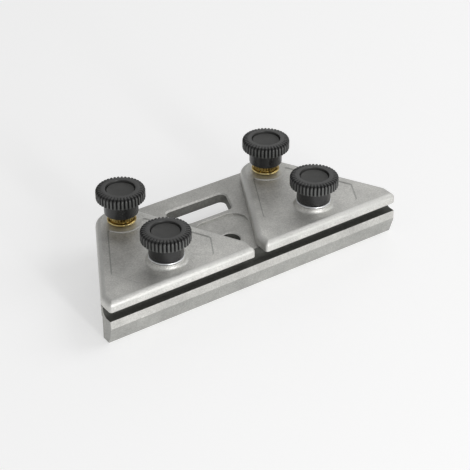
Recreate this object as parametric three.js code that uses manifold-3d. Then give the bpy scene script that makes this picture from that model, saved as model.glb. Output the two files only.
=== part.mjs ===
// Blade-clamping jig: two triangular clamp plates on one cast base, each held by two knurled screws.
// Millimetres, +Z up. The origin is under the middle of the base, on the plane that it stands on:
// +X runs along the blade slot, -Y faces the slot's open side.
import * as THREE from 'three';
import { mergeVertices } from 'three/addons/utils/BufferGeometryUtils.js';
import Module from 'manifold-3d';

const wasm = await Module();
wasm.setup();

// ---- Driving dimensions -------------------------------------------------------------------------
// clamp plates
const PLATE_WIDTH = 82.9;         // along the slot
const PLATE_THICKNESS = 5.7;
const PLATE_TIP_EDGE = 8.7;       // short square end beside the slot
const PLATE_APEX_RADIUS = 13.5;   // round end about the rear screw
const PLATE_EDGE_FILLET = 2.8;    // round top edge
const PLATE_CORNER_RADIUS = 1.6;  // front corners, seen from above
const PLATES_APART = 6.6;         // between the two plates at the slot
const PANEL_DEPTH = 0.4;          // shallow sunk panel in the top face
const PANEL_SIDE_INSET = 6.3;     // from the slanted sides
const PANEL_FRONT_INSET = 7.6;    // from the front edge
const PANEL_TIP_INSET = 13.4;     // its outer corners, from the plate's tips along the slot
const PANEL_CORNER_INSET = 20.4;  // its front corners, likewise
const PANEL_CORNER_RADIUS = 1.5;
const PANEL_ARC_RADIUS = 10.4;    // its hollow rear end, about the rear screw
const CONE_FOOT_RADIUS = 10.6;    // cone under the front washer
const CONE_HEIGHT = 2.0;
const CONE_ROOT = 1.5;            // how far the cone is rooted in the plate

// screws: front and rear of each plate
const SCREW_SPACING = 42.0;
const FRONT_SCREW_INSET = 16.5;   // from the plates' front edge
const STUD_DIAMETER = 6.0;
const STUD_IN_KNOB = 9.0;
const STUD_END_HEIGHT = 5.0;      // lower end, above the ground plane

// knobs
const KNOB_DIAMETER = 25.0;
const KNOB_HEAD_HEIGHT = 5.7;
const KNOB_EDGE_ROUND = 1.35;
const KNOB_UNDER_CHAMFER = 0.8;
const NECK_DIAMETER = 17.4;
const NECK_LENGTH = 8.15;
const CAP_DIAMETER = 14.4;
const CAP_THICKNESS = 1.0;
const CAP_SUNK = 1.0;             // below the rim of the knob

// washer under each front knob, brass collar under each rear knob
const WASHER_DIAMETER = 18.0;
const WASHER_THICKNESS = 1.0;
const COLLAR_DIAMETER = 14.9;
const COLLAR_FLANGE = 1.3;
const COLLAR_BARREL_DIAMETER = 13.2;
const COLLAR_HEIGHT = 5.3;
const COLLAR_SHANK_DIAMETER = 12.0;   // plain foot below the flange
const COLLAR_SHANK = 0.7;

// base casting
const BASE_HEIGHT = 18.2;         // ground plane to the face that carries the plates
const BASE_THICKNESS = 5.7;       // flat part behind the lip
const SLOT_DEPTH = 7.0;           // blade shelf, front to back
const SLOT_DROP = 4.6;            // blade shelf below the base's top face
const SLOT_FILLET = 3.5;
const LIP_FACE_HEIGHT = 4.2;      // upright face below the blade shelf
const LIP_SETBACK = 3.0;          // how far the slanted face runs back
const LIP_REAR = 8.0;             // rear face of the lip, from the front edge
const WINDOW_DEPTH = 15.6;
const WINDOW_REAR_WIDTH = 39.0;
const WINDOW_REAR_WALL = 11.0;    // web between the window and the rear edge
const WINDOW_CORNER = 3.0;
const WINDOW_END_SLOPE = 0.7;     // its ends' slope, as a share of the plates' side slope
const RECESS_LENGTH = 29.4;
const RECESS_WIDTH = 15.0;
const RECESS_DEPTH = 1.0;
const RECESS_FROM_FRONT = 34.4;   // middle of the recess
const BORE_RADIUS = 4.9;          // plain through hole beside the left plate
const BORE_OFFSET = -3.5;
const BORE_FROM_FRONT = 21.6;
const SCREW_BOSS_RADIUS = 8.0;
const FRONT_BOSS_END = 3.5;       // above the ground plane; the rear bosses are the rear feet
const RIB_THICKNESS = 4.0;
const RIB_END = 5.0;              // lower edge of the ribs, above the ground plane

// threaded inserts in the base
const INSERT_DIAMETER = 8.6;
const INSERT_LENGTH = 12.0;

// clearances
const SIDE_GAP = 0.3;             // between a piece and the bore or recess that holds it
const FACE_GAP = 0.2;             // between stacked faces
const PLATE_GAP = 0.3;            // between the base and the clamp plates
const PLATE_BORE_GAP = 0.5;       // round a stud in a clamp plate
const ROUND_STEPS = 30;           // sides of a full circle
const CUT_OVERRUN = 5;            // how far a cutting body runs past the face that it cuts
const JOIN_OVERLAP = 1;           // how far joined or cut bodies run into each other
const MERGE_DISTANCE = 1e-3;      // outline points closer than this are one point
const WELD_DISTANCE = 1e-4;       // mesh corners closer than this are one corner

// ---- Places worked out from the dimensions ------------------------------------------------------
const plateSpacing = PLATE_WIDTH + PLATES_APART;
const baseHalf = (plateSpacing + PLATE_WIDTH) / 2;
const depth = FRONT_SCREW_INSET + SCREW_SPACING + PLATE_APEX_RADIUS;
const frontY = -depth / 2;
const rearY = depth / 2;
const frontScrewY = frontY + FRONT_SCREW_INSET;
const rearScrewY = frontScrewY + SCREW_SPACING;
const plateZ = BASE_HEIGHT + PLATE_GAP;
const plateTopZ = plateZ + PLATE_THICKNESS;
const shelfZ = BASE_HEIGHT - SLOT_DROP;
const undersideZ = BASE_HEIGHT - BASE_THICKNESS;
const knobHeight = NECK_LENGTH + KNOB_HEAD_HEIGHT;
const washerZ = plateTopZ + CONE_HEIGHT + FACE_GAP;
const frontKnobZ = washerZ + WASHER_THICKNESS + FACE_GAP;
const collarZ = plateTopZ + FACE_GAP;
const rearKnobZ = collarZ + COLLAR_HEIGHT + FACE_GAP;
const insertZ = BASE_HEIGHT - FACE_GAP - INSERT_LENGTH;
const sides = [['left', -plateSpacing / 2], ['right', plateSpacing / 2]];
const screws = [
  ['front', frontScrewY, frontKnobZ],
  ['rear', rearScrewY, rearKnobZ],
];

// direction of the plates' slanted sides: a tangent from the tip edge to the round apex
const apexAbove = rearScrewY - (frontY + PLATE_TIP_EDGE);
const tipDistance = Math.hypot(PLATE_WIDTH / 2, apexAbove);
const sideAngle = Math.atan2(PLATE_WIDTH / 2, apexAbove) - Math.asin(PLATE_APEX_RADIUS / tipDistance);

// ---- Materials ----------------------------------------------------------------------------------
function material(color, roughness, metalness) {
  return new THREE.MeshStandardMaterial({ color, roughness, metalness });
}
const castAluminium = () => material(0xa9a8a3, 0.5, 0.85);
const blackPlastic = () => material(0x2b2b2a, 0.45, 0);
const capPlastic = () => material(0x343433, 0.6, 0);
const steel = () => material(0xc4c6c8, 0.3, 1);
const brass = () => material(0xb98a2c, 0.3, 1);

// ---- Solids -------------------------------------------------------------------------------------
function solid(geometry) {
  const bare = geometry.clone();
  bare.deleteAttribute('normal');
  bare.deleteAttribute('uv');
  const merged = mergeVertices(bare, WELD_DISTANCE);
  return new wasm.Manifold(new wasm.Mesh({
    numProp: 3,
    vertProperties: new Float32Array(merged.attributes.position.array),
    triVerts: new Uint32Array(merged.index.array),
  }));
}

function geometryOf(body) {
  const result = body.getMesh();
  const geometry = new THREE.BufferGeometry();
  geometry.setAttribute('position', new THREE.BufferAttribute(new Float32Array(result.vertProperties), 3));
  geometry.setIndex(new THREE.BufferAttribute(new Uint32Array(result.triVerts), 1));
  geometry.computeVertexNormals();
  return geometry;
}

function box(x0, x1, y0, y1, z0, z1) {
  const geometry = new THREE.BoxGeometry(x1 - x0, y1 - y0, z1 - z0);
  return solid(geometry.translate((x0 + x1) / 2, (y0 + y1) / 2, (z0 + z1) / 2));
}

// the outline's points, without the repeats where a line meets an arc
function cleanOutline(shape) {
  const points = shape.getPoints(ROUND_STEPS / 3);
  const kept = points.filter((p, i) => p.distanceTo(points[(i + 1) % points.length]) > MERGE_DISTANCE);
  return new THREE.Shape(kept);
}

// upright solid of an outline, between two heights
function upright(shape, z0, z1) {
  const geometry = new THREE.ExtrudeGeometry(cleanOutline(shape), { depth: z1 - z0, bevelEnabled: false });
  return solid(geometry.translate(0, 0, z0));
}

// body turned about the Z axis from a list of [radius, height], placed at x, y
function turned(points, x = 0, y = 0) {
  const profile = points.map(([r, z]) => new THREE.Vector2(r, z));
  const geometry = new THREE.LatheGeometry(profile, ROUND_STEPS);
  return solid(geometry.rotateX(Math.PI / 2).translate(x, y, 0));
}

function cylinder(radius, z0, z1, x = 0, y = 0) {
  return turned([[0, z0], [radius, z0], [radius, z1], [0, z1]], x, y);
}

function tube(outer, inner, z0, z1) {
  return turned([[inner, z0], [outer, z0], [outer, z1], [inner, z1], [inner, z0]]);
}

function mesh(name, body, finish, x = 0, y = 0, z = 0) {
  const piece = new THREE.Mesh(geometryOf(body), finish);
  piece.name = name;
  piece.position.set(x, y, z);
  return piece;
}

// closed outline through corners [x, y, radius], each corner rounded to its radius
function roundedOutline(corners) {
  const shape = new THREE.Shape();
  corners.forEach(([x, y, radius], i) => {
    const [px, py] = corners[(i + corners.length - 1) % corners.length];
    const [nx, ny] = corners[(i + 1) % corners.length];
    const at = new THREE.Vector2(x, y);
    const toPrevious = new THREE.Vector2(px - x, py - y).normalize();
    const toNext = new THREE.Vector2(nx - x, ny - y).normalize();
    const half = Math.acos(toPrevious.dot(toNext)) / 2;
    const setback = radius / Math.tan(half);
    const start = at.clone().addScaledVector(toPrevious, setback);
    const end = at.clone().addScaledVector(toNext, setback);
    if (i === 0) shape.moveTo(start.x, start.y);
    else shape.lineTo(start.x, start.y);
    if (radius > 0) {
      const middle = toPrevious.clone().add(toNext).normalize();
      const centre = at.clone().addScaledVector(middle, radius / Math.sin(half));
      const from = Math.atan2(start.y - centre.y, start.x - centre.x);
      const to = Math.atan2(end.y - centre.y, end.x - centre.x);
      const clockwise = toPrevious.cross(toNext) > 0;
      shape.absarc(centre.x, centre.y, radius, from, to, clockwise);
    }
  });
  shape.closePath();
  return shape;
}

// ---- Clamp plate, about its own centre line -----------------------------------------------------
function plateOutline(cornerRadius) {
  const half = PLATE_WIDTH / 2;
  const tipY = frontY + PLATE_TIP_EDGE;
  const cornerX = half - cornerRadius;
  const cornerY = frontY + cornerRadius;
  const shape = new THREE.Shape();
  shape.moveTo(-cornerX, frontY);
  shape.lineTo(cornerX, frontY);
  shape.absarc(cornerX, cornerY, cornerRadius, -Math.PI / 2, 0, false);
  shape.lineTo(half, tipY);
  shape.absarc(0, rearScrewY, PLATE_APEX_RADIUS, sideAngle, Math.PI - sideAngle, false);
  shape.lineTo(-half, tipY);
  shape.absarc(-cornerX, cornerY, cornerRadius, Math.PI, 1.5 * Math.PI, false);
  return shape;
}

// The panel's sides run along the plate's slanted sides, and its rear end goes round the rear screw.
function panelCutter() {
  const fromScrew = PLATE_APEX_RADIUS - PANEL_SIDE_INSET;
  const sideY = (x) => rearScrewY + (fromScrew - x * Math.cos(sideAngle)) / Math.sin(sideAngle);
  const tipX = PLATE_WIDTH / 2 - PANEL_TIP_INSET;
  const cornerX = PLATE_WIDTH / 2 - PANEL_CORNER_INSET;
  const cornerY = frontY + PANEL_FRONT_INSET;
  const rearX = PANEL_ARC_RADIUS;
  const r = PANEL_CORNER_RADIUS;
  const outline = roundedOutline([
    [-cornerX, cornerY, r], [cornerX, cornerY, r], [tipX, sideY(tipX), r],
    [rearX, sideY(rearX), r], [-rearX, sideY(rearX), r], [-tipX, sideY(tipX), r],
  ]);
  const z0 = plateTopZ - PANEL_DEPTH;
  const z1 = plateTopZ + CUT_OVERRUN;
  const island = cylinder(PANEL_ARC_RADIUS, z0 - JOIN_OVERLAP, z1 + JOIN_OVERLAP, 0, rearScrewY);
  return upright(outline, z0, z1).subtract(island);
}

function clampPlate() {
  const fillet = PLATE_EDGE_FILLET;
  const geometry = new THREE.ExtrudeGeometry(cleanOutline(plateOutline(0)), {
    depth: PLATE_THICKNESS - fillet, bevelEnabled: true, bevelThickness: fillet,
    bevelSize: fillet, bevelOffset: -fillet, bevelSegments: 4,
  });
  const filleted = solid(geometry.translate(0, 0, plateZ));
  const outline = upright(plateOutline(PLATE_CORNER_RADIUS), plateZ, plateTopZ + CUT_OVERRUN);
  const coneRoot = plateTopZ - CONE_ROOT;
  const coneTop = plateTopZ + CONE_HEIGHT;
  const cone = turned([
    [0, coneRoot], [CONE_FOOT_RADIUS, coneRoot], [CONE_FOOT_RADIUS, plateTopZ - PANEL_DEPTH],
    [WASHER_DIAMETER / 2, coneTop], [0, coneTop],
  ], 0, frontScrewY);
  const body = filleted.intersect(outline).subtract(panelCutter()).add(cone);
  const boreRadius = STUD_DIAMETER / 2 + PLATE_BORE_GAP;
  return screws.reduce((plate, [, y]) => {
    const bore = cylinder(boreRadius, plateZ - CUT_OVERRUN, coneTop + CUT_OVERRUN, 0, y);
    return plate.subtract(bore);
  }, body);
}

// ---- Base casting -------------------------------------------------------------------------------
// Seen from above, the base's ends follow the plates' slanted outer sides.
function baseOutline() {
  const tipY = frontY + PLATE_TIP_EDGE;
  const apexX = plateSpacing / 2;
  const shape = new THREE.Shape();
  shape.moveTo(-baseHalf, frontY);
  shape.lineTo(baseHalf, frontY);
  shape.lineTo(baseHalf, tipY);
  shape.absarc(apexX, rearScrewY, PLATE_APEX_RADIUS, sideAngle, Math.PI / 2, false);
  shape.absarc(-apexX, rearScrewY, PLATE_APEX_RADIUS, Math.PI / 2, Math.PI - sideAngle, false);
  shape.lineTo(-baseHalf, tipY);
  return shape;
}

// Seen from the end: flat plate, blade shelf with a round inner corner, and the lip below it.
function baseSection() {
  const shape = new THREE.Shape();
  const shelfRear = frontY + SLOT_DEPTH;
  shape.moveTo(frontY + LIP_SETBACK, 0);
  shape.lineTo(frontY + LIP_REAR, 0);
  shape.lineTo(frontY + LIP_REAR, undersideZ);
  shape.lineTo(rearY, undersideZ);
  shape.lineTo(rearY, BASE_HEIGHT);
  shape.lineTo(shelfRear, BASE_HEIGHT);
  shape.absarc(shelfRear - SLOT_FILLET, shelfZ + SLOT_FILLET, SLOT_FILLET, 0, -Math.PI / 2, true);
  shape.lineTo(frontY, shelfZ);
  shape.lineTo(frontY, shelfZ - LIP_FACE_HEIGHT);
  return shape;
}

function windowCutter() {
  const rear = rearY - WINDOW_REAR_WALL;
  const front = rear - WINDOW_DEPTH;
  const rearHalf = WINDOW_REAR_WIDTH / 2;
  const frontHalf = rearHalf - WINDOW_DEPTH * Math.tan(sideAngle) * WINDOW_END_SLOPE;
  return upright(roundedOutline([
    [-frontHalf, front, WINDOW_CORNER], [frontHalf, front, WINDOW_CORNER],
    [rearHalf, rear, WINDOW_CORNER], [-rearHalf, rear, WINDOW_CORNER],
  ]), undersideZ - CUT_OVERRUN, BASE_HEIGHT + CUT_OVERRUN);
}

function recessCutter() {
  const halfLength = RECESS_LENGTH / 2;
  const halfWidth = RECESS_WIDTH / 2;
  const y = frontY + RECESS_FROM_FRONT;
  return upright(roundedOutline([
    [-halfLength, y - halfWidth, halfWidth], [halfLength, y - halfWidth, halfWidth],
    [halfLength, y + halfWidth, halfWidth], [-halfLength, y + halfWidth, halfWidth],
  ]), BASE_HEIGHT - RECESS_DEPTH, BASE_HEIGHT + CUT_OVERRUN);
}

function baseCasting() {
  // the section is drawn as (y, z) and runs along X, past both ends
  const length = 2 * (baseHalf + CUT_OVERRUN);
  const options = { depth: length, bevelEnabled: false };
  const section = new THREE.ExtrudeGeometry(cleanOutline(baseSection()), options);
  section.rotateX(Math.PI / 2).rotateZ(Math.PI / 2).translate(-length / 2, 0, 0);
  let body = solid(section).intersect(upright(baseOutline(), -CUT_OVERRUN, BASE_HEIGHT + CUT_OVERRUN));
  const bossTop = undersideZ + JOIN_OVERLAP;
  for (const [, x] of sides) {
    body = body.add(cylinder(SCREW_BOSS_RADIUS, FRONT_BOSS_END, bossTop, x, frontScrewY));
    body = body.add(cylinder(SCREW_BOSS_RADIUS, 0, bossTop, x, rearScrewY));
    const half = RIB_THICKNESS / 2;
    const ribFront = frontY + LIP_REAR - JOIN_OVERLAP;
    body = body.add(box(x - half, x + half, ribFront, rearScrewY, RIB_END, bossTop));
  }
  const holeRadius = INSERT_DIAMETER / 2 + SIDE_GAP;
  for (const [, x] of sides) {
    for (const [, y] of screws) {
      body = body.subtract(cylinder(holeRadius, insertZ - FACE_GAP, BASE_HEIGHT + CUT_OVERRUN, x, y));
      const studRoom = STUD_DIAMETER / 2 + PLATE_BORE_GAP;
      body = body.subtract(cylinder(studRoom, STUD_END_HEIGHT - FACE_GAP, BASE_HEIGHT, x, y));
    }
  }
  const bore = cylinder(
    BORE_RADIUS, -CUT_OVERRUN, BASE_HEIGHT + CUT_OVERRUN, BORE_OFFSET, frontY + BORE_FROM_FRONT);
  return body.subtract(windowCutter()).subtract(recessCutter()).subtract(bore);
}

// ---- Screw pieces, about the screw's own axis; height 0 is the piece's lower end -----------------
function knob() {
  const neck = NECK_DIAMETER / 2;
  const head = KNOB_DIAMETER / 2;
  const chamfer = KNOB_UNDER_CHAMFER;
  const recess = CAP_DIAMETER / 2 + SIDE_GAP;
  const recessFloor = knobHeight - CAP_SUNK - CAP_THICKNESS - FACE_GAP;
  const bore = STUD_DIAMETER / 2 + SIDE_GAP;
  const round = [0, 1, 2, 3].map((i) => {
    const a = (i / 3) * (Math.PI / 2);
    const inset = KNOB_EDGE_ROUND * (1 - Math.cos(a));
    return [head - inset, knobHeight - KNOB_EDGE_ROUND * (1 - Math.sin(a))];
  });
  return turned([
    [0, STUD_IN_KNOB + SIDE_GAP], [bore, STUD_IN_KNOB + SIDE_GAP], [bore, 0], [neck, 0],
    [neck, NECK_LENGTH], [head - chamfer, NECK_LENGTH], [head, NECK_LENGTH + chamfer],
    ...round, [recess, knobHeight], [recess, recessFloor], [0, recessFloor],
  ]);
}

function collar() {
  const bore = STUD_DIAMETER / 2 + SIDE_GAP;
  const shank = COLLAR_SHANK_DIAMETER / 2;
  const flange = COLLAR_DIAMETER / 2;
  const barrel = COLLAR_BARREL_DIAMETER / 2;
  const flangeTop = COLLAR_SHANK + COLLAR_FLANGE;
  return turned([
    [bore, 0], [shank, 0], [shank, COLLAR_SHANK], [flange, COLLAR_SHANK], [flange, flangeTop],
    [barrel, flangeTop], [barrel, COLLAR_HEIGHT], [bore, COLLAR_HEIGHT], [bore, 0],
  ]);
}

// ---- Assembly -----------------------------------------------------------------------------------
const jig = new THREE.Group();
jig.add(mesh('base_casting', baseCasting(), castAluminium()));

for (const [side, x] of sides) {
  jig.add(mesh(`${side}_clamp_plate`, clampPlate(), castAluminium(), x));

  const studBore = STUD_DIAMETER / 2 + SIDE_GAP;
  const washer = tube(WASHER_DIAMETER / 2, studBore, 0, WASHER_THICKNESS);
  jig.add(mesh(`${side}_front_washer`, washer, steel(), x, frontScrewY, washerZ));
  jig.add(mesh(`${side}_rear_collar`, collar(), brass(), x, rearScrewY, collarZ));

  for (const [end, y, knobZ] of screws) {
    const name = `${side}_${end}`;
    const capZ = knobZ + knobHeight - CAP_SUNK - CAP_THICKNESS;
    const cap = cylinder(CAP_DIAMETER / 2, 0, CAP_THICKNESS);
    const stud = cylinder(STUD_DIAMETER / 2, STUD_END_HEIGHT, knobZ + STUD_IN_KNOB);
    const insert = tube(INSERT_DIAMETER / 2, studBore, 0, INSERT_LENGTH);
    jig.add(mesh(`${name}_knob`, knob(), blackPlastic(), x, y, knobZ));
    jig.add(mesh(`${name}_knob_cap`, cap, capPlastic(), x, y, capZ));
    jig.add(mesh(`${name}_stud`, stud, steel(), x, y));
    jig.add(mesh(`${name}_insert`, insert, steel(), x, y, insertZ));
  }
}

export default jig;
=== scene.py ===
# Blade clamping jig: the visual model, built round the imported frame. Metres, +Z up.
import bpy
import bmesh
import math
from mathutils import Matrix, Vector

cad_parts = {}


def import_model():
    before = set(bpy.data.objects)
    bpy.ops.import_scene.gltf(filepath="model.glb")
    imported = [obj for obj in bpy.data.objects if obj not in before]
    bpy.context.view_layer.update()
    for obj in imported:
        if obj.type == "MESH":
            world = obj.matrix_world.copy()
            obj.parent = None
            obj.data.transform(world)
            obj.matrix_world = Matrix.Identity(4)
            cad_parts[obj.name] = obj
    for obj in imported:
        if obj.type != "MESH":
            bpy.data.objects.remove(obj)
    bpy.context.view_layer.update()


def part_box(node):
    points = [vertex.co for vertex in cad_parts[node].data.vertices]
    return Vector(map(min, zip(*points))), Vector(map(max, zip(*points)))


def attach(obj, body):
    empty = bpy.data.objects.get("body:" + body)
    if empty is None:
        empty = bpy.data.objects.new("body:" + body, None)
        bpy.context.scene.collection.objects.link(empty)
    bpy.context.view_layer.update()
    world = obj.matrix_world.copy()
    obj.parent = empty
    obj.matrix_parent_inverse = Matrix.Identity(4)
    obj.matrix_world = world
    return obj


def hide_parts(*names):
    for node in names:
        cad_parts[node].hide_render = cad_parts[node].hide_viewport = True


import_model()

MM = 0.001
WELD = 2e-6               # metres: vertices this close are one

# ---- Sizes in millimetres that the frame doesn't give -------------------------------------------
PLATE_TIP_EDGE = 8.7      # short square end of a plate beside the slot
APEX_RADIUS = 13.5        # round rear end of a plate, about its rear screw
PLATE_FILLET = 2.8        # round top edge of a plate
PLATE_EDGE_BREAK = 0.5    # small round on a plate's lower edge
CORNER_RADIUS = 1.6       # plate corners seen from above
BASE_EDGE_BREAK = 0.35    # small round on the casting's edges
PLATE_THICKNESS = 5.7     # of the plate itself, without its cone
PLATE_STEPS = 14          # steps round each corner of a plate
CONE_UPRIGHT = 0.5        # upright part of the cone's side, below its top
CONE_CLEAR = 13           # no worn edges and no painted shade on the panel's wall this near the front screw
SOFT_EDGE = 0.35          # small round on a washer, a cap and the cone
PANEL_DEPTH = 0.4         # shallow sunk panel in a plate's top face
PANEL_SIDE_INSET = 6.3    # from the slanted sides
PANEL_FRONT_INSET = 7.6   # from the front edge
PANEL_TIP_INSET = 13.4    # its outer corners, from the plate's tips along the slot
PANEL_CORNER_INSET = 20.4 # its front corners, likewise
PANEL_CORNER_RADIUS = 1.5
PANEL_CORNER_STEPS = 6
PANEL_ARC_RADIUS = 10.4   # its hollow rear end, about the rear screw
PANEL_EDGE_RUN = 0.65     # how far its soft edge slopes
SLOT_DEPTH = 7.0          # blade shelf, front to back
SLOT_DROP = 4.6           # blade shelf, below the base's top
SLOT_FILLET = 3.5
BASE_THICKNESS = 5.7
BASE_FRONT_CORNER = 0.6
BASE_CORNER_STEPS = 16
LIP_FACE_HEIGHT = 4.2     # the lip's upper face, down from the blade shelf
LIP_LEAN = 0.5            # how far that face leans back at its top
LIP_SETBACK = 3.0
LIP_REAR = 8.0
WINDOW_DEPTH = 15.6
WINDOW_REAR_WIDTH = 39.0
WINDOW_REAR_WALL = 11.0
WINDOW_END_SLOPE = 0.7    # slope of its ends, as a share of the plates' side slope
WINDOW_CORNER = 3.0
WINDOW_CHAMFER = 0.8
RECESS_LENGTH = 29.4
RECESS_WIDTH = 15.0
RECESS_DEPTH = 1.0
RECESS_CHAMFER = 0.2
RECESS_FROM_FRONT = 34.4
BORE_RADIUS = 4.9
BORE_CHAMFER = 0.5
BORE_OFFSET = -3.5
BORE_FROM_FRONT = 21.6
SCREW_BOSS_RADIUS = 8.0
FRONT_BOSS_END = 3.5
RIB_THICKNESS = 4.0
RIB_END = 5.0
INSERT_RADIUS = 4.3
INSERT_EDGE = 0.3
INSERT_BORE_GAP = 0.15
BORE_GAP = 0.3
PLATE_BORE_GAP = 0.5
END_GAP = 0.2             # below a stud or an insert in its hole
STUD_PITCH = 1.0
STUD_RADIUS = 3.0
STUD_STEPS = 24
THREAD_DEPTH = 0.42
KNOB_RADIUS = 12.5        # over the ribs
KNOB_TOP_ROUND = 1.5
KNOB_RIBS = 40
KNOB_GROOVE = 0.75
KNOB_NECK_LENGTH = 8.15
KNOB_NECK_RADIUS = 8.7
KNOB_BORE_DEPTH = 9.3
CAP_RADIUS = 7.2
CAP_SEAT_DEPTH = 2.2
COLLAR_SHANK = 0.7
COLLAR_SHANK_RADIUS = 6.0
COLLAR_FLANGE = 1.3
COLLAR_RADIUS = 7.45
COLLAR_BARREL_RADIUS = 6.5
COLLAR_FLUTES = 28
FLUTE_DEPTH = 0.55
ROUND_STEPS = 96
CUT_PAST = 3              # how far a cutter runs past the faces that it cuts
BLANK_PAST = 5            # how far the base's blank runs past its outline
JOIN_OVERLAP = 1          # how far joined bodies run into each other

# ---- Names, depths of the ribs and flutes, light and camera -------------------------------------
EDGE_LAYER = "edge_wear"
# one rib of a knob and one flute of a collar, as shares of the groove's depth
RIB_SHAPE = (0.0, 0.0, 0.0, 0.12, 0.8, 1.0, 0.8, 0.12)
FLUTE_SHAPE = (0, 0.1, 0.75, 1.0, 0.75, 0.1)
# softboxes: name, place and size in metres, power in watts
SOFTBOXES = (
    ("key", (0.9, -0.25, 0.95), (0.8, 0.8), 4.0),
    ("front", (0.1, -1.2, 0.25), (1.2, 0.4), 3.2),
    ("rear", (0.95, 0.95, 0.85), (0.9, 0.9), 1.3),
    ("strip", (-0.08, -1.0, 0.26), (0.10, 0.5), 4))
LIGHT_AIM = (0, 0, 0.02)  # metres
WORLD_STRENGTH = 0.41
FLOOR_REACH = 4.0         # metres
FLOOR_TONE = 0.64
FLOOR_GLOW = 0.44
CAMERA_AZIMUTH = -34.86   # degrees
CAMERA_ELEVATION = 32.98
CAMERA_TARGET = (-0.29, -13.6, 18.5)    # millimetres, as are the three below
CAMERA_DISTANCE = 683.85
CAMERA_LENS = 103.8
SENSOR_WIDTH = 36


def mm_box(node):
    """Lowest and highest corners of a CAD node, in millimetres."""
    low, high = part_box(node)
    return low / MM, high / MM


# ---- Places worked out from the frame -----------------------------------------------------------
plate_low, plate_high = mm_box("right_clamp_plate")
_, base_high = mm_box("base_casting")
stud_low, stud_high = mm_box("right_front_stud")
washer_low, washer_high = mm_box("right_front_washer")
front_y = plate_low.y
rear_y = plate_high.y
plate_half = (plate_high.x - plate_low.x) / 2
plate_x = (plate_high.x + plate_low.x) / 2
base_half = base_high.x
base_top = base_high.z
plate_bottom = plate_low.z
cone_top = plate_high.z
plate_top = plate_bottom + PLATE_THICKNESS
front_screw_y = (stud_low.y + stud_high.y) / 2
rear_screw_y = rear_y - APEX_RADIUS
washer_radius = (washer_high.y - washer_low.y) / 2
tip_y = front_y + PLATE_TIP_EDGE
apex_above = rear_screw_y - tip_y
tip_distance = math.hypot(plate_half, apex_above)
side_angle = math.atan2(plate_half, apex_above) - math.asin(APEX_RADIUS / tip_distance)
SIDES = (("left", -plate_x), ("right", plate_x))
SCREWS = (("front", front_screw_y), ("rear", rear_screw_y))


# ---- Materials ----------------------------------------------------------------------------------
def node_material(name):
    """An empty node material with its shader; returns (material, add a node, join two sockets, shader)."""
    material = bpy.data.materials.new(name)
    material.use_nodes = True
    tree = material.node_tree
    shader = tree.nodes["Principled BSDF"]

    def add(kind, **values):
        node = tree.nodes.new(kind)
        for key, value in values.items():
            if hasattr(node, key):
                setattr(node, key, value)
            else:
                node.inputs[key.replace("_", " ")].default_value = value
        return node

    return material, add, tree.links.new, shader


def ramp(add, stops):
    """A colour ramp node through (position, colour) stops."""
    node = add("ShaderNodeValToRGB")
    element = node.color_ramp.elements
    while len(element) < len(stops):
        element.new(0.5)
    for e, (position, value) in zip(element, stops):
        e.position = position
        e.color = value if len(value) == 4 else (*value, 1)
    return node


def noise(add, join, place, scale, detail=3, rough=0.55):
    """Noise with this many waves to the metre; returns its value."""
    node = add("ShaderNodeTexNoise", Scale=scale, Detail=detail, Roughness=rough)
    join(place, node.inputs["Vector"])
    return node.outputs["Fac"]


def bump(add, join, shader, height, strength, distance, under=None):
    """Small relief on the surface, on top of the relief under; returns its node."""
    node = add("ShaderNodeBump", Strength=strength, Distance=distance)
    join(height, node.inputs["Height"])
    if under is not None:
        join(under.outputs["Normal"], node.inputs["Normal"])
    join(node.outputs["Normal"], shader.inputs["Normal"])
    return node


def roughness(add, join, shader, pattern, start, end):
    """Roughness that goes from start to end as the pattern rises."""
    node = add("ShaderNodeMapRange", From_Min=0.3, From_Max=0.7, To_Min=start, To_Max=end)
    join(pattern, node.inputs["Value"])
    join(node.outputs["Result"], shader.inputs["Roughness"])


def mottle(add, join, shader, pattern, tone):
    """Base colour that is darker and lighter than tone where the pattern is low and high."""
    colour = ramp(add, [(0.3, [c * 0.75 for c in tone]), (0.7, [c * 1.3 for c in tone])])
    join(pattern, colour.inputs["Fac"])
    join(colour.outputs["Color"], shader.inputs["Base Color"])


def cast_aluminium(name, tone):
    """Bead-blasted casting: fine grain, slow tone changes, small pits and edges rubbed to one tone."""
    material, add, join, shader = node_material(name)
    place = add("ShaderNodeTexCoord").outputs["Object"]
    cloud = noise(add, join, place, scale=60, detail=5, rough=0.65)
    grain = noise(add, join, place, scale=1200, detail=4, rough=0.7)
    blast = noise(add, join, place, scale=2200, detail=3, rough=0.6)
    colour = ramp(add, [(0.30, [c * 0.79 for c in tone]), (0.68, [c * 1.08 for c in tone])])
    join(cloud, colour.inputs["Fac"])
    speck = ramp(add, [
        (0.30, (0.72, 0.72, 0.71)), (0.52, (0.95, 0.95, 0.95)), (0.72, (1.18, 1.18, 1.18))])
    join(grain, speck.inputs["Fac"])
    mix = add("ShaderNodeMix", data_type="RGBA", blend_type="MULTIPLY")
    mix.inputs["Factor"].default_value = 0.8
    join(colour.outputs["Color"], mix.inputs["A"])
    join(speck.outputs["Color"], mix.inputs["B"])
    edge = add("ShaderNodeAttribute", attribute_name=EDGE_LAYER)
    worn = add("ShaderNodeMath", operation="MULTIPLY")
    join(edge.outputs["Fac"], worn.inputs[0])
    join(grain, worn.inputs[1])
    rubbed = add("ShaderNodeMix", data_type="RGBA")
    join(worn.outputs["Value"], rubbed.inputs["Factor"])
    join(mix.outputs["Result"], rubbed.inputs["A"])
    rubbed.inputs["B"].default_value = (0.59, 0.59, 0.57, 1)
    join(rubbed.outputs["Result"], shader.inputs["Base Color"])
    roughness(add, join, shader, cloud, 0.42, 0.56)
    shader.inputs["Metallic"].default_value = 0.85
    first = bump(add, join, shader, grain, strength=0.5, distance=0.0004)
    bump(add, join, shader, blast, strength=0.4, distance=0.00015, under=first)
    return material


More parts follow.
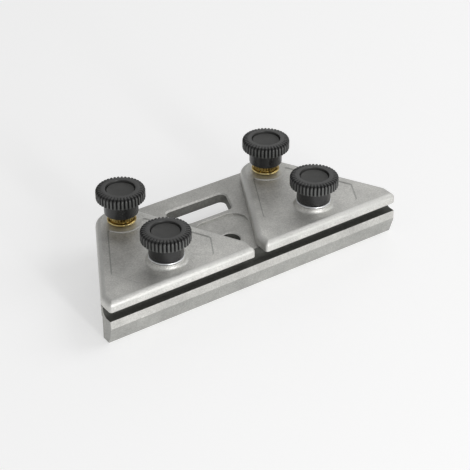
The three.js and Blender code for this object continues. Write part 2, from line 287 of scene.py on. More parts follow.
def moulded_plastic(name, tone, rough_low, rough_high, grain_scale, grain_depth):
    """Moulded plastic with a fine grain and slow changes of tone and gloss."""
    material, add, join, shader = node_material(name)
    place = add("ShaderNodeTexCoord").outputs["Object"]
    cloud = noise(add, join, place, scale=160, detail=3)
    grain = noise(add, join, place, scale=grain_scale, detail=3, rough=0.6)
    mottle(add, join, shader, cloud, tone)
    roughness(add, join, shader, cloud, rough_low, rough_high)
    bump(add, join, shader, grain, strength=0.4, distance=grain_depth)
    return material


def painted_shade_finish(name, tone):
    """Dark colour painted inside the slot and the holes as their shade, with a fine mottle."""
    material, add, join, shader = node_material(name)
    place = add("ShaderNodeTexCoord").outputs["Object"]
    grain = noise(add, join, place, scale=700, detail=4, rough=0.7)
    mottle(add, join, shader, grain, tone)
    shader.inputs["Metallic"].default_value = 0.2
    shader.inputs["Roughness"].default_value = 0.72
    bump(add, join, shader, grain, strength=0.4, distance=0.0002)
    return material


def turned_metal(name, tone, rough_low, rough_high, ring_scale, patina):
    """Metal turned on a lathe: fine rings up the axis, small stains in patina's colour."""
    material, add, join, shader = node_material(name)
    place = add("ShaderNodeTexCoord").outputs["Object"]
    rings = add("ShaderNodeTexWave", bands_direction="Z", Scale=ring_scale, Distortion=0.6, Detail=2)
    join(place, rings.inputs["Vector"])
    stain = noise(add, join, place, scale=260, detail=4)
    colour = ramp(add, [(0.35, patina), (0.62, tone)])
    join(stain, colour.inputs["Fac"])
    join(colour.outputs["Color"], shader.inputs["Base Color"])
    roughness(add, join, shader, stain, rough_high, rough_low)
    shader.inputs["Metallic"].default_value = 1
    bump(add, join, shader, rings.outputs["Fac"], strength=0.15, distance=0.00004)
    return material


PLATE_METAL = cast_aluminium("plate_cast_aluminium", (0.74, 0.735, 0.705))
BASE_METAL = cast_aluminium("base_cast_aluminium", (0.58, 0.575, 0.55))
KNOB_PLASTIC = moulded_plastic("knob_plastic", (0.040, 0.040, 0.039), 0.30, 0.44, 2600, 0.00005)
CAP_PLASTIC = moulded_plastic("cap_plastic", (0.048, 0.048, 0.046), 0.5, 0.62, 1800, 0.00008)
# painted shade: a darker copy of the base's casting for the lip's lower face and the bar's ends
LIP_PAINTED_SHADE_METAL = cast_aluminium("lip_painted_shade_aluminium", (0.46, 0.46, 0.44))
# painted shade: a darker copy of the plate's casting for the sunk panel's low wall
PANEL_WALL_SHADE_METAL = cast_aluminium("panel_wall_painted_shade", (0.50, 0.50, 0.48))
# painted shade: dark colours for the blade slot under the plates, the round hole and the window's walls
SLOT_PAINTED_SHADE = painted_shade_finish("slot_painted_shade", (0.058, 0.059, 0.053))
HOLE_PAINTED_SHADE = painted_shade_finish("hole_painted_shade", (0.13, 0.13, 0.12))
# painted shade: a darker, glossier copy of the knob plastic for the neck under the head
NECK_PAINTED_SHADE_PLASTIC = moulded_plastic("neck_painted_shade_plastic", (0.014, 0.014, 0.014), 0.24, 0.32, 2600, 0.00004)
# painted light: a lighter copy of the knob plastic on the ribs' lands
RIB_PAINTED_LIGHT_PLASTIC = moulded_plastic("rib_painted_light_plastic", (0.075, 0.077, 0.074), 0.36, 0.48, 2600, 0.00005)
# painted shade: a near-black copy of the knob plastic in the grooves between the ribs
GROOVE_PAINTED_SHADE_PLASTIC = moulded_plastic("groove_painted_shade_plastic", (0.006, 0.006, 0.006), 0.5, 0.6, 2600, 0.00005)
STEEL = turned_metal("zinc_steel", (0.86, 0.87, 0.88), 0.34, 0.42, 900, (0.78, 0.79, 0.80))
BRASS = turned_metal("turned_brass", (0.95, 0.80, 0.42), 0.10, 0.20, 900, (0.70, 0.52, 0.18))
# painted shade: a darker copy of the brass for the collar's barrel under the knob
BARREL_PAINTED_SHADE_BRASS = turned_metal("brass_painted_shade", (0.60, 0.45, 0.17), 0.12, 0.20, 900, (0.20, 0.135, 0.035))


# ---- Mesh helpers, all in millimetres -----------------------------------------------------------
def rounded(corners, steps=10):
    """Points of a closed outline with each corner (x, y, radius) rounded, anticlockwise."""
    points = []
    count = len(corners)
    for i, (x, y, radius) in enumerate(corners):
        at = Vector((x, y))
        back = (Vector(corners[i - 1][:2]) - at).normalized()
        ahead = (Vector(corners[(i + 1) % count][:2]) - at).normalized()
        half = back.angle(ahead) / 2
        centre = at + (back + ahead).normalized() * radius / math.sin(half)
        start = at + back * radius / math.tan(half) - centre
        turn = math.pi - 2 * half
        for k in range(steps + 1):
            points.append(centre + Matrix.Rotation(turn * k / steps, 2) @ start)
    return points


def inset(corners, distance, least=0.12):
    """The same outline with its edges moved inwards, and the round corners tightened to match."""
    count = len(corners)
    lines = []
    for i in range(count):
        a = Vector(corners[i][:2])
        b = Vector(corners[(i + 1) % count][:2])
        along = (b - a).normalized()
        lines.append((a + Vector((-along.y, along.x)) * distance, along))
    moved = []
    for i in range(count):
        (p, d), (q, e) = lines[i - 1], lines[i]
        s = ((q.x - p.x) * e.y - (q.y - p.y) * e.x) / (d.x * e.y - d.y * e.x)
        at = p + d * s
        moved.append((at.x, at.y, max(corners[i][2] - distance, least)))
    return moved


def stacked(layers):
    """A closed solid through loops of points: layers is a list of (points, z), lowest first."""
    bm = bmesh.new()
    loops = [[bm.verts.new((p.x, p.y, z)) for p in points] for points, z in layers]
    count = len(loops[0])
    for low, high in zip(loops, loops[1:]):
        for i in range(count):
            j = (i + 1) % count
            bm.faces.new((low[i], low[j], high[j], high[i]))
    bm.faces.new(list(reversed(loops[0])))
    bm.faces.new(loops[-1])
    return bm


def upright(points, z0, z1):
    """A closed solid with upright sides on an outline."""
    return stacked([(points, z0), (points, z1)])


def join_rings(bm, rings):
    """Faces from each ring of vertices to the next; a ring of one vertex is a point on the axis."""
    for low, high in zip(rings, rings[1:]):
        steps = max(len(low), len(high))
        for i in range(steps):
            j = (i + 1) % steps
            if len(low) == 1:
                bm.faces.new((low[0], high[j], high[i]))
            elif len(high) == 1:
                bm.faces.new((low[i], low[j], high[0]))
            else:
                bm.faces.new((low[i], low[j], high[j], high[i]))


def turned(profile, x=0, y=0):
    """A closed solid turned about a vertical axis; profile is [(radius, z)] from low axis end to high."""
    bm = bmesh.new()
    closed = profile[0] == profile[-1]
    rings = []
    for r, z in profile[:-1] if closed else profile:
        if r == 0:
            rings.append([bm.verts.new((x, y, z))])
        else:
            rings.append([
                bm.verts.new((x + r * math.cos(a), y + r * math.sin(a), z))
                for a in (2 * math.pi * k / ROUND_STEPS for k in range(ROUND_STEPS))])
    join_rings(bm, rings + rings[:1] if closed else rings)
    bmesh.ops.recalc_face_normals(bm, faces=bm.faces)
    return bm


def rod(radius, z0, z1, x, y):
    """A round bar, to join or to cut with."""
    return turned([(0, z0), (radius, z0), (radius, z1), (0, z1)], x, y)


def arc(cr, cz, radius, start, end, steps=8):
    """Profile points round (cr, cz), from start to end in degrees."""
    return [
        (cr + radius * math.cos(math.radians(start + (end - start) * k / steps)),
         cz + radius * math.sin(math.radians(start + (end - start) * k / steps)))
        for k in range(steps + 1)]


def block(x0, x1, y0, y1, z0, z1):
    """A box between two corners."""
    corners = [Vector((x0, y0)), Vector((x1, y0)), Vector((x1, y1)), Vector((x0, y1))]
    return upright(corners, z0, z1)


def piece(name, bm, material=None):
    """A Blender object from a mesh in millimetres."""
    bmesh.ops.recalc_face_normals(bm, faces=bm.faces)
    mesh = bpy.data.meshes.new(name)
    bm.to_mesh(mesh)
    bm.free()
    mesh.transform(Matrix.Scale(MM, 4))
    obj = bpy.data.objects.new(name, mesh)
    bpy.context.scene.collection.objects.link(obj)
    if material:
        mesh.materials.append(material)
    return obj


def apply_modifiers(obj):
    """Turns the modified shape into the object's own mesh."""
    graph = bpy.context.evaluated_depsgraph_get()
    mesh = bpy.data.meshes.new_from_object(obj.evaluated_get(graph))
    old = obj.data
    obj.modifiers.clear()
    obj.data = mesh
    bpy.data.meshes.remove(old)


def combine(obj, steps):
    """Joins (UNION) or cuts (DIFFERENCE, INTERSECT) obj by each mesh of steps."""
    for kind, bm in steps:
        tool = piece("tool", bm)
        modifier = obj.modifiers.new("combine", "BOOLEAN")
        modifier.operation = kind
        modifier.solver = "EXACT"
        modifier.object = tool
        apply_modifiers(obj)
        bpy.data.objects.remove(tool)


def finish_mesh(obj, edge_break=0, angle=32):
    """Merges loose points, rounds sharp edges and sets smooth shading with sharp folds kept."""
    bm = bmesh.new()
    bm.from_mesh(obj.data)
    bmesh.ops.remove_doubles(bm, verts=bm.verts, dist=WELD)
    bmesh.ops.dissolve_degenerate(bm, edges=bm.edges, dist=WELD)
    bm.to_mesh(obj.data)
    bm.free()
    if edge_break:
        modifier = obj.modifiers.new("edge", "BEVEL")
        modifier.width = edge_break * MM
        modifier.segments = 2
        modifier.limit_method = "ANGLE"
        modifier.angle_limit = math.radians(angle)
        modifier.use_clamp_overlap = True
        apply_modifiers(obj)
    smooth_normals(obj.data, angle)
    mark_edges(obj.data)


def mark_edges(mesh, widest=0.9, least_bend=3.5):
    """Marks narrow faces at a bend, in millimetres and degrees, for the worn finish of edges."""
    by_edge = {}
    for polygon in mesh.polygons:
        for key in polygon.edge_keys:
            by_edge.setdefault(key, []).append(polygon.index)
    layer = mesh.attributes.new(EDGE_LAYER, "FLOAT", "FACE")
    bend = math.cos(math.radians(least_bend))
    for polygon in mesh.polygons:
        points = [mesh.vertices[v].co for v in polygon.vertices]
        shortest = min((points[i] - points[i - 1]).length for i in range(len(points)))
        if shortest > widest * MM or len(points) > 4:
            continue
        near = [mesh.polygons[o].normal for key in polygon.edge_keys for o in by_edge[key]]
        if min(polygon.normal.dot(n) for n in near) < bend:
            layer.data[polygon.index].value = 1.0


def smooth_normals(mesh, angle):
    """Smooth shading: each corner takes the area-weighted normal of the faces round it within angle."""
    mesh.shade_smooth()
    least = math.cos(math.radians(angle))
    normals = [p.normal.copy() for p in mesh.polygons]
    weighted = [p.normal * p.area for p in mesh.polygons]
    around = [[] for _ in mesh.vertices]
    for polygon in mesh.polygons:
        for v in polygon.vertices:
            around[v].append(polygon.index)
    corners = []
    for polygon in mesh.polygons:
        own = normals[polygon.index]
        for v in polygon.vertices:
            total = Vector()
            for other in around[v]:
                if own.dot(normals[other]) >= least:
                    total += weighted[other]
            corners.append(total.normalized() if total.length > 0 else own)
    mesh.normals_split_custom_set(corners)


def add_finish(obj, material):
    """Gives the piece one more material; returns its slot's number."""
    obj.data.materials.append(material)
    return len(obj.data.materials) - 1


# ---- Clamp plates -------------------------------------------------------------------------------
def plate_corners():
    """A plate's outline, with its sharp apex rounded about the rear screw."""
    apex_y = tip_y + plate_half / math.tan(side_angle)
    return [
        (-plate_half, front_y, CORNER_RADIUS), (plate_half, front_y, CORNER_RADIUS),
        (plate_half, tip_y, CORNER_RADIUS), (0, apex_y, APEX_RADIUS), (-plate_half, tip_y, CORNER_RADIUS)]


def shifted(corners, dx):
    """The same outline, moved along X."""
    return [(x + dx, y, r) for x, y, r in corners]


def panel_cutter(x):
    """Cutter for the sunk panel: its sides follow the plate's sides, and it goes round the rear screw."""
    from_screw = APEX_RADIUS - PANEL_SIDE_INSET
    tip_x = plate_half - PANEL_TIP_INSET
    corner_x = plate_half - PANEL_CORNER_INSET
    corner_y = front_y + PANEL_FRONT_INSET
    rear_x = PANEL_ARC_RADIUS

    def side_y(at_x):
        return rear_screw_y + (from_screw - at_x * math.cos(side_angle)) / math.sin(side_angle)

    r = PANEL_CORNER_RADIUS
    corners = shifted([
        (-corner_x, corner_y, r), (corner_x, corner_y, r), (tip_x, side_y(tip_x), r),
        (rear_x, side_y(rear_x), r), (-rear_x, side_y(rear_x), r), (-tip_x, side_y(tip_x), r)], x)
    floor_z = plate_top - PANEL_DEPTH
    wide = rounded(inset(corners, -PANEL_EDGE_RUN), PANEL_CORNER_STEPS)
    narrow = rounded(corners, PANEL_CORNER_STEPS)
    return stacked([(narrow, floor_z), (wide, plate_top), (wide, plate_top + JOIN_OVERLAP)])


def seat_island(x):
    """The plate's own top face round the rear screw, left standing in the panel."""
    r = PANEL_ARC_RADIUS
    floor_z = plate_top - PANEL_DEPTH
    return turned([
        (0, floor_z - JOIN_OVERLAP), (r, floor_z - JOIN_OVERLAP), (r, floor_z),
        (r - 0.2, plate_top - 0.03), (r - 0.3, plate_top), (0, plate_top)], x, rear_screw_y)


def front_cone(x):
    """Raised seat under the front screw, with a hollow curved foot."""
    ground = plate_top - PANEL_DEPTH
    blend = cone_top - CONE_UPRIGHT - ground
    foot = washer_radius + blend
    soft = SOFT_EDGE
    return turned(
        [(0, ground - JOIN_OVERLAP), (foot, ground - JOIN_OVERLAP)]
        + arc(foot, ground + blend - 0.02, blend, -90, -180, 10)
        + arc(washer_radius - soft, cone_top - soft, soft, 0, 90, 4) + [(0, cone_top)], x, front_screw_y)


def clamp_plate(name, x):
    """Clamp plate: round top edge, sunk panel, cone under the front screw and two bores."""
    corners = shifted(plate_corners(), x)

    def layer(radius, turn, face_z, way):
        """The outline where a round edge has turned by this many degrees from the plate's side."""
        a = math.radians(turn)
        outline = rounded(inset(corners, radius * (1 - math.cos(a))), PLATE_STEPS)
        return outline, face_z + way * radius * (1 - math.sin(a))

    lower = [layer(PLATE_EDGE_BREAK, 90 * (1 - k / 3), plate_bottom, 1) for k in range(4)]
    upper = [layer(PLATE_FILLET, 90 * k / 8, plate_top, -1) for k in range(9)]
    obj = piece(name, stacked(lower + upper), PLATE_METAL)
    steps = [("DIFFERENCE", panel_cutter(x)), ("UNION", seat_island(x)), ("UNION", front_cone(x))]
    for _, y in SCREWS:
        hole = rod(STUD_RADIUS + PLATE_BORE_GAP, plate_bottom - CUT_PAST, cone_top + CUT_PAST, x, y)
        steps.append(("DIFFERENCE", hole))
    combine(obj, steps)
    finish_mesh(obj, angle=34)
    shade_panel_edge(obj, x)
    return obj


def shade_panel_edge(obj, x):
    """The cone has no worn edges, and the panel's low wall gets a darker tone as painted shade, except behind
    the rear screw.
    """
    wall_shade = add_finish(obj, PANEL_WALL_SHADE_METAL)
    worn = obj.data.attributes[EDGE_LAYER].data
    for polygon in obj.data.polygons:
        at = polygon.center / MM
        from_front = math.hypot(at.x - x, at.y - front_screw_y)
        from_rear = math.hypot(at.x - x, at.y - rear_screw_y)
        if from_front < CONE_CLEAR:
            worn[polygon.index].value = 0
        # how far out towards the slanted sides the face is, from the rear screw
        across = abs(at.x - x) * math.cos(side_angle) + (at.y - rear_screw_y) * math.sin(side_angle)
        in_panel = (across < APEX_RADIUS - PANEL_SIDE_INSET + 1
                    and at.y > front_y + PANEL_FRONT_INSET - 1
                    and plate_top - PANEL_DEPTH < at.z < plate_top)
        if in_panel and from_rear > PANEL_ARC_RADIUS + 0.6:
            worn[polygon.index].value = 0
            if from_front > CONE_CLEAR:
                # painted shade on the panel's low wall
                polygon.material_index = wall_shade


# ---- Base casting -------------------------------------------------------------------------------
def base_corners():
    """The base's outline, which follows the outer sides of the two plates."""
    run = (rear_y - tip_y) * math.tan(side_angle)
    return [
        (-base_half, front_y, BASE_FRONT_CORNER), (base_half, front_y, BASE_FRONT_CORNER),
        (base_half, tip_y, CORNER_RADIUS), (base_half - run, rear_y, APEX_RADIUS),
        (run - base_half, rear_y, APEX_RADIUS),
        (-base_half, tip_y, CORNER_RADIUS)]


def lip_section():
    """End view of the base as (y, z) points: plate, blade shelf with a round inner corner, lip."""
    under = base_top - BASE_THICKNESS
    shelf = base_top - SLOT_DROP
    shelf_rear = front_y + SLOT_DEPTH
    points = [
        (front_y + LIP_SETBACK, 0), (front_y + LIP_REAR, 0), (front_y + LIP_REAR, under),
        (rear_y + BLANK_PAST, under), (rear_y + BLANK_PAST, base_top), (shelf_rear, base_top)]
    points += arc(shelf_rear - SLOT_FILLET, shelf + SLOT_FILLET, SLOT_FILLET, 0, -90, 10)
    points += [(front_y + LIP_LEAN, shelf), (front_y, shelf - LIP_FACE_HEIGHT)]
    return points


def lengthwise(points, x0, x1):
    """A closed solid of (y, z) points run along X."""
    bm = bmesh.new()
    near = [bm.verts.new((x0, y, z)) for y, z in points]
    far = [bm.verts.new((x1, y, z)) for y, z in points]
    count = len(points)
    for i in range(count):
        j = (i + 1) % count
        bm.faces.new((near[i], far[i], far[j], near[j]))
    bm.faces.new(near)
    bm.faces.new(list(reversed(far)))
    bmesh.ops.recalc_face_normals(bm, faces=bm.faces)
    return bm


def window_corners():
    """The rear window's outline, narrower at its front."""
    rear = rear_y - WINDOW_REAR_WALL
    front = rear - WINDOW_DEPTH
    half = WINDOW_REAR_WIDTH / 2
    front_half = half - WINDOW_DEPTH * math.tan(side_angle) * WINDOW_END_SLOPE
    r = WINDOW_CORNER
    return [(-front_half, front, r), (front_half, front, r), (half, rear, r), (-half, rear, r)]


def grown_cut(corners, z_from, z_top, chamfer):
    """A cutter that widens by chamfer where it leaves the top face."""
    wide = rounded(inset(corners, -chamfer))
    return stacked([
        (rounded(corners), z_from), (rounded(corners), z_top - chamfer),
        (wide, z_top), (wide, z_top + CUT_PAST)])


def screw_supports():
    """Steps that join the screws' bosses and the ribs to the underside."""
    under = base_top - BASE_THICKNESS
    half = RIB_THICKNESS / 2
    rib_front = front_y + LIP_REAR - JOIN_OVERLAP
    steps = []
    for _, x in SIDES:
        for y, end in ((front_screw_y, FRONT_BOSS_END), (rear_screw_y, 0)):
            steps.append(("UNION", rod(SCREW_BOSS_RADIUS, end, under + JOIN_OVERLAP, x, y)))
        rib = block(x - half, x + half, rib_front, rear_screw_y, RIB_END, under + JOIN_OVERLAP)
        steps.append(("UNION", rib))
    return steps


def screw_holes():
    """Steps that cut each insert's hole, and below it room for the stud's end."""
    insert_low, _ = mm_box("right_front_insert")
    wide, narrow = INSERT_RADIUS + BORE_GAP, STUD_RADIUS + PLATE_BORE_GAP
    steps = []
    for _, x in SIDES:
        for _, y in SCREWS:
            for r, floor_z in ((wide, insert_low.z - END_GAP), (narrow, stud_low.z - END_GAP)):
                steps.append(("DIFFERENCE", rod(r, floor_z, base_top + CUT_PAST, x, y)))
    return steps


def base_openings():
    """Steps that cut the rear window, the oval recess and the small round hole."""
    under = base_top - BASE_THICKNESS
    y = front_y + RECESS_FROM_FRONT
    l, w = RECESS_LENGTH / 2, RECESS_WIDTH / 2
    r = w - 0.01
    oval = [(-l, y - w, r), (l, y - w, r), (l, y + w, r), (-l, y + w, r)]
    wide = BORE_RADIUS + BORE_CHAMFER
    bore = turned([
        (0, -CUT_PAST), (BORE_RADIUS, -CUT_PAST), (BORE_RADIUS, base_top - BORE_CHAMFER), (wide, base_top),
        (wide, base_top + CUT_PAST), (0, base_top + CUT_PAST)], BORE_OFFSET, front_y + BORE_FROM_FRONT)
    return [
        ("DIFFERENCE", grown_cut(window_corners(), under - CUT_PAST, base_top, WINDOW_CHAMFER)),
        ("DIFFERENCE", grown_cut(oval, base_top - RECESS_DEPTH, base_top, RECESS_CHAMFER)),
        ("DIFFERENCE", bore)]


def base_casting():
    """Base casting: plate with blade shelf and lip, bosses and ribs below, and its openings."""
    blank = lengthwise(lip_section(), -base_half - BLANK_PAST, base_half + BLANK_PAST)
    obj = piece("base_body", blank, BASE_METAL)
    outline = upright(rounded(base_corners(), BASE_CORNER_STEPS), -CUT_PAST, base_top + CUT_PAST)
    combine(obj, [("INTERSECT", outline)] + screw_supports() + screw_holes() + base_openings())
    finish_mesh(obj, BASE_EDGE_BREAK, 34)
    shade_base(obj)
    return obj


def shade_base(obj):
    """Painted shade: a dark colour on the blade shelf and in the holes, and a darker tone on the lip's lower
    face and the bar's ends.
    """
    slot = add_finish(obj, SLOT_PAINTED_SHADE)
    hole = add_finish(obj, HOLE_PAINTED_SHADE)
    lip = add_finish(obj, LIP_PAINTED_SHADE_METAL)
    shelf = base_top - SLOT_DROP
    shelf_rear = front_y + SLOT_DEPTH
    recess_floor = base_top - RECESS_DEPTH
    hole_front = front_y + LIP_REAR + 2
    hole_rear = rear_y - WINDOW_REAR_WALL + 0.2
    hole_half = WINDOW_REAR_WIDTH / 2 + 0.2
    worn = obj.data.attributes[EDGE_LAYER].data
    for polygon in obj.data.polygons:
        x, y, z = polygon.center / MM
        normal = polygon.normal
        from_screw = min(math.hypot(abs(x) - plate_x, y - screw_y) for _, screw_y in SCREWS)
        if from_screw < SCREW_BOSS_RADIUS + 0.1 and abs(normal.z) < 0.2:
            worn[polygon.index].value = 0
        in_slot = front_y + 0.4 < y < shelf_rear + 0.01 and z > shelf - 0.05
        in_hole = abs(x) < hole_half and hole_front < y < hole_rear and z < recess_floor
        from_bore = math.hypot(x - BORE_OFFSET, y - front_y - BORE_FROM_FRONT)
        on_end = abs(x) > base_half - 0.5 and abs(normal.x) > 0.8
        if in_slot or (from_bore < BORE_RADIUS + 0.2 and z < recess_floor):
            # painted shade in the blade slot and the round hole
            polygon.material_index = slot
        elif in_hole and abs(normal.z) < 0.2:
            # painted shade on the window's walls
            polygon.material_index = hole
        elif on_end or (y < front_y + LIP_SETBACK and z < shelf - LIP_FACE_HEIGHT):
            # painted shade on the lip's lower face and the bar's ends
            polygon.material_index = lip


# ---- Knobs, caps, studs, washers, collars, inserts ----------------------------------------------
def knob_rows(z0, z1):
    """Knob profile as (radius, height, depth of the grooves between the ribs there), from the top down."""
    head, neck, groove = KNOB_RADIUS, KNOB_NECK_RADIUS, KNOB_GROOVE
    z_head = z0 + KNOB_NECK_LENGTH
    seat = CAP_RADIUS + BORE_GAP
    bore = STUD_RADIUS + BORE_GAP
    turn = KNOB_TOP_ROUND
    rows = [(seat, z1 - CAP_SEAT_DEPTH, 0), (seat, z1 - 0.35, 0), (seat + 0.12, z1 - 0.1, 0)]
    rows += [(seat + 0.4, z1, 0), (9.2, z1, 0), (9.6, z1 - 0.02, 0)]
    rows += [(9.9, z1 - 0.05, 0.25), (10.9, z1 - 0.12, 0.4)]
    for k in range(1, 8):
        a = math.radians(90 * k / 7)
        rows.append((head - turn + turn * math.sin(a), z1 - 0.15 - turn * (1 - math.cos(a)), groove))
    rows += [(head, z_head + 2.4, groove), (head, z_head + 0.5, groove)]
    rows += [(head - 0.15, z_head + 0.15, groove), (head - 0.5, z_head, 0.5)]
    rows += [(11.2, z_head - 0.02, 0), (neck + 0.8, z_head - 0.05, 0)]
    rows += [(neck + 0.25, z_head - 0.25, 0), (neck, z_head - 0.8, 0), (neck, z0 + 0.5, 0)]
    rows += [(neck - 0.15, z0 + 0.15, 0), (neck - 0.5, z0, 0), (bore, z0, 0), (bore, z0 + KNOB_BORE_DEPTH, 0)]
    return rows


def knob(name, x, y, z0, z1):
    """Ribbed head on a smooth neck, with a sunk seat for the cap; the ribs run over the top edge."""
    per_rib = len(RIB_SHAPE)
    steps = KNOB_RIBS * per_rib
    bm = bmesh.new()
    rings = []
    for r, z, depth in knob_rows(z0, z1):
        lean = 1 if z < z1 - 0.3 else 0.35
        drop = 0.75 if z > z1 - 1.0 and depth else 0
        ring = []
        for k in range(steps):
            a = 2 * math.pi * k / steps
            cut = depth * RIB_SHAPE[k % per_rib]
            out = r - cut * lean
            ring.append(bm.verts.new((x + out * math.cos(a), y + out * math.sin(a), z - cut * drop)))
        rings.append(ring)
    join_rings(bm, rings)
    bm.faces.new(rings[0])
    bm.faces.new(list(reversed(rings[-1])))
    obj = piece(name, bm, KNOB_PLASTIC)
    finish_mesh(obj, angle=40)
    shade_knob(obj, x, y, z0 + KNOB_NECK_LENGTH, z1)
    return obj


def shade_knob(obj, x, y, z_head, z1):
    """Painted shade in the grooves, painted light on the ribs' lands, and a glossier neck with painted shade
    under the head.
    """
    groove = add_finish(obj, GROOVE_PAINTED_SHADE_PLASTIC)
    rib = add_finish(obj, RIB_PAINTED_LIGHT_PLASTIC)
    neck = add_finish(obj, NECK_PAINTED_SHADE_PLASTIC)
    for polygon in obj.data.polygons:
        at = polygon.center / MM - Vector((x, y, 0))
        across = at.xy.length
        on_ribs = z_head + 0.3 < at.z < z1 - 0.25 and polygon.normal.z > -0.5
        if across < KNOB_NECK_RADIUS + 0.4 and at.z < z_head:
            # painted shade on the neck
            polygon.material_index = neck
        elif across > KNOB_NECK_RADIUS + 1 and on_ribs:
            if across < KNOB_RADIUS - KNOB_GROOVE * 0.4:
                # painted shade in the grooves
                polygon.material_index = groove
            elif at.z < z1 - 1.2:
                # painted light on the ribs' lands
                polygon.material_index = rib


def knob_cap(name, x, y, z0, z1):
    """Round cap with a raised edge and a shallow dish."""
    r = CAP_RADIUS
    profile = [(0, z0), (r - 0.2, z0), (r, z0 + 0.2)]
    profile += arc(r - SOFT_EDGE, z1 - SOFT_EDGE, SOFT_EDGE, 0, 90, 4)
    profile += [(r - 0.7, z1 - 0.02), (r - 1.0, z1 - 0.12), (r - 1.8, z1 - 0.25), (r - 3.4, z1 - 0.36)]
    profile += [(0, z1 - 0.42)]
    obj = piece(name, turned(profile, x, y), CAP_PLASTIC)
    finish_mesh(obj)
    return obj


def stud(name, x, y, z0, z1):
    """Threaded stud: one helical ridge wound up a core, with chamfered ends."""
    plain = z1 - z0 - 2.0
    rows = int(plain / STUD_PITCH * 4)
    heights = [z0, z0 + 0.6] + [z0 + 1.0 + plain * k / rows for k in range(rows + 1)] + [z1 - 0.4, z1]
    bm = bmesh.new()
    rings = [[bm.verts.new((x, y, z0))]]
    for z in heights:
        ring = []
        for k in range(STUD_STEPS):
            a = 2 * math.pi * k / STUD_STEPS
            phase = ((z - z0) / STUD_PITCH - k / STUD_STEPS) % 1
            r = STUD_RADIUS - 0.02 - THREAD_DEPTH * (1 - abs(2 * phase - 1))
            if z in (z0, z1):
                r = STUD_RADIUS - THREAD_DEPTH - 0.25
            ring.append(bm.verts.new((x + r * math.cos(a), y + r * math.sin(a), z)))
        rings.append(ring)
    rings.append([bm.verts.new((x, y, z1))])
    join_rings(bm, rings)
    obj = piece(name, bm, STEEL)
    finish_mesh(obj, angle=50)
    return obj


def ring_piece(name, x, y, z0, z1, inner, outer, edge, material):
    """Washer or sleeve with broken edges."""
    profile = [(inner, z0 + edge), (inner + edge, z0)] + arc(outer - edge, z0 + edge, edge, -90, 0, 3)
    profile += arc(outer - edge, z1 - edge, edge, 0, 90, 3) + [(inner + edge, z1), (inner, z1 - edge)]
    obj = piece(name, turned(profile + [profile[0]], x, y), material)
    finish_mesh(obj)
    return obj


def collar_rows(z0, z1):
    """Collar profile as (radius, height, depth of the flutes there), from the bore's foot to its top."""
    inner, shank, barrel = STUD_RADIUS + BORE_GAP, COLLAR_SHANK_RADIUS, COLLAR_BARREL_RADIUS
    rim = COLLAR_FLANGE / 2
    flange_low = z0 + COLLAR_SHANK
    flange_top = flange_low + COLLAR_FLANGE
    rows = [(inner, z0 + 0.2, 0), (inner + 0.2, z0, 0), (shank - 0.15, z0, 0), (shank, z0 + 0.15, 0)]
    rows += [(shank, flange_low, 0)]
    rows += [(r, z, 0) for r, z in arc(COLLAR_RADIUS - rim, flange_low + rim, rim, -90, 90, 10)]
    rows += [(barrel - 0.4, flange_top + 0.05, 0), (barrel - 0.45, flange_top + 0.35, 0)]
    rows += [(barrel, flange_top + 0.6, FLUTE_DEPTH), (barrel, z1 - 0.7, FLUTE_DEPTH)]
    rows += [(barrel - 0.15, z1 - 0.45, 0.35), (barrel - 0.45, z1 - 0.3, 0)]
    rows += [(barrel - 0.5, z1, 0), (inner, z1, 0)]
    return rows


def collar(name, x, y, z0, z1):
    """Brass collar: short plain shank, round flange, and a fluted barrel above in a darker brass as painted
    shade.
    """
    per_flute = len(FLUTE_SHAPE)
    steps = COLLAR_FLUTES * per_flute
    bm = bmesh.new()
    rings = []
    for r, z, depth in collar_rows(z0, z1):
        ring = []
        for k in range(steps):
            a = 2 * math.pi * k / steps
            out = r - depth * FLUTE_SHAPE[k % per_flute]
            ring.append(bm.verts.new((x + out * math.cos(a), y + out * math.sin(a), z)))
        rings.append(ring)
    join_rings(bm, rings + rings[:1])
    obj = piece(name, bm, BRASS)
    finish_mesh(obj, angle=40)
    # painted shade on the barrel and the flange's top
    barrel_shade = add_finish(obj, BARREL_PAINTED_SHADE_BRASS)
    flange_top = z0 + COLLAR_SHANK + COLLAR_FLANGE
    for polygon in obj.data.polygons:
        if polygon.center.z / MM > flange_top - 0.3:
            polygon.material_index = barrel_shade
    return obj


# ---- Assembly -----------------------------------------------------------------------------------
def settle(obj, body, node):
    """The piece rides on a body and stands in for a CAD node, which is hidden."""
    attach(obj, body)
    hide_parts(node)


def screw_pieces(name, end, x, y):
    """One screw with all that is on it, and the insert that it runs in."""
    def place(part):
        low, high = mm_box(f"{name}_{part}")
        return x, y, low.z, high.z

    seat, screw = f"{name}_seat", f"{name}_screw"
    if end == "front":
        washer = ring_piece(
            f"{name}_washer_ring", *place("washer"), STUD_RADIUS + BORE_GAP, washer_radius, SOFT_EDGE, STEEL)
        settle(washer, seat, f"{name}_washer")
    else:
        settle(collar(f"{name}_collar_brass", *place("collar")), seat, f"{name}_collar")
    settle(knob(f"{name}_knob_ribbed", *place("knob")), screw, f"{name}_knob")
    settle(knob_cap(f"{name}_cap_disc", *place("knob_cap")), screw, f"{name}_knob_cap")
    settle(stud(f"{name}_stud_thread", *place("stud")), screw, f"{name}_stud")
    insert = ring_piece(
        f"{name}_insert_sleeve", *place("insert"),
        STUD_RADIUS + INSERT_BORE_GAP, INSERT_RADIUS, INSERT_EDGE, STEEL)
    settle(insert, "base", f"{name}_insert")


settle(base_casting(), "base", "base_casting")
for side, x in SIDES:
    plate = clamp_plate(f"{side}_plate_body", x)
    settle(plate, f"{side}_plate", f"{side}_clamp_plate")
    for end, y in SCREWS:
        screw_pieces(f"{side}_{end}", end, x, y)


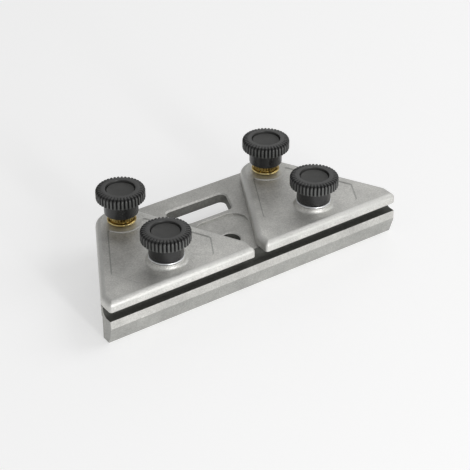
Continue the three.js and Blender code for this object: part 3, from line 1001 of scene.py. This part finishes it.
# ---- Floor, light and camera --------------------------------------------------------------------
def floor():
    """Plain pale floor, with a little light of its own."""
    bm = bmesh.new()
    corners = ((-1, -1), (1, -1), (1, 1), (-1, 1))
    bm.faces.new([bm.verts.new((sx * FLOOR_REACH, sy * FLOOR_REACH, 0)) for sx, sy in corners])
    mesh = bpy.data.meshes.new("floor")
    bm.to_mesh(mesh)
    bm.free()
    obj = bpy.data.objects.new("floor", mesh)
    bpy.context.scene.collection.objects.link(obj)
    material, _, _, shader = node_material("pale_floor")
    shader.inputs["Base Color"].default_value = (FLOOR_TONE, FLOOR_TONE, FLOOR_TONE, 1)
    shader.inputs["Roughness"].default_value = 0.7
    shader.inputs["Emission Color"].default_value = (1, 1, 1, 1)
    shader.inputs["Emission Strength"].default_value = FLOOR_GLOW
    mesh.materials.append(material)


def softbox(name, place, size, power):
    """A rectangular studio light that faces the object."""
    light = bpy.data.lights.new(name, "AREA")
    light.shape = "RECTANGLE"
    light.size, light.size_y = size
    light.energy = power
    obj = bpy.data.objects.new(name, light)
    obj.location = place
    obj.rotation_euler = (Vector(LIGHT_AIM) - Vector(place)).to_track_quat("-Z", "Y").to_euler()
    bpy.context.scene.collection.objects.link(obj)


def world():
    """Even studio light, shown with plain colours."""
    bpy.context.scene.view_settings.view_transform = "Standard"
    sky = bpy.data.worlds.new("studio")
    sky.use_nodes = True
    background = sky.node_tree.nodes["Background"]
    background.inputs["Color"].default_value = (1, 1, 1, 1)
    background.inputs["Strength"].default_value = WORLD_STRENGTH
    bpy.context.scene.world = sky


def camera():
    """Camera on a circle about its target; azimuth 0 looks along +Y."""
    azimuth, elevation = math.radians(CAMERA_AZIMUTH), math.radians(CAMERA_ELEVATION)
    level = math.cos(elevation)
    back = Vector((math.sin(azimuth) * level, -math.cos(azimuth) * level, math.sin(elevation)))
    data = bpy.data.cameras.new("camera")
    data.lens = CAMERA_LENS
    data.sensor_width = SENSOR_WIDTH
    obj = bpy.data.objects.new("camera", data)
    obj.location = Vector(CAMERA_TARGET) * MM + back * (CAMERA_DISTANCE * MM)
    obj.rotation_euler = (-back).to_track_quat("-Z", "Y").to_euler()
    bpy.context.scene.collection.objects.link(obj)
    bpy.context.scene.camera = obj


floor()
world()
for box in SOFTBOXES:
    softbox(*box)
camera()
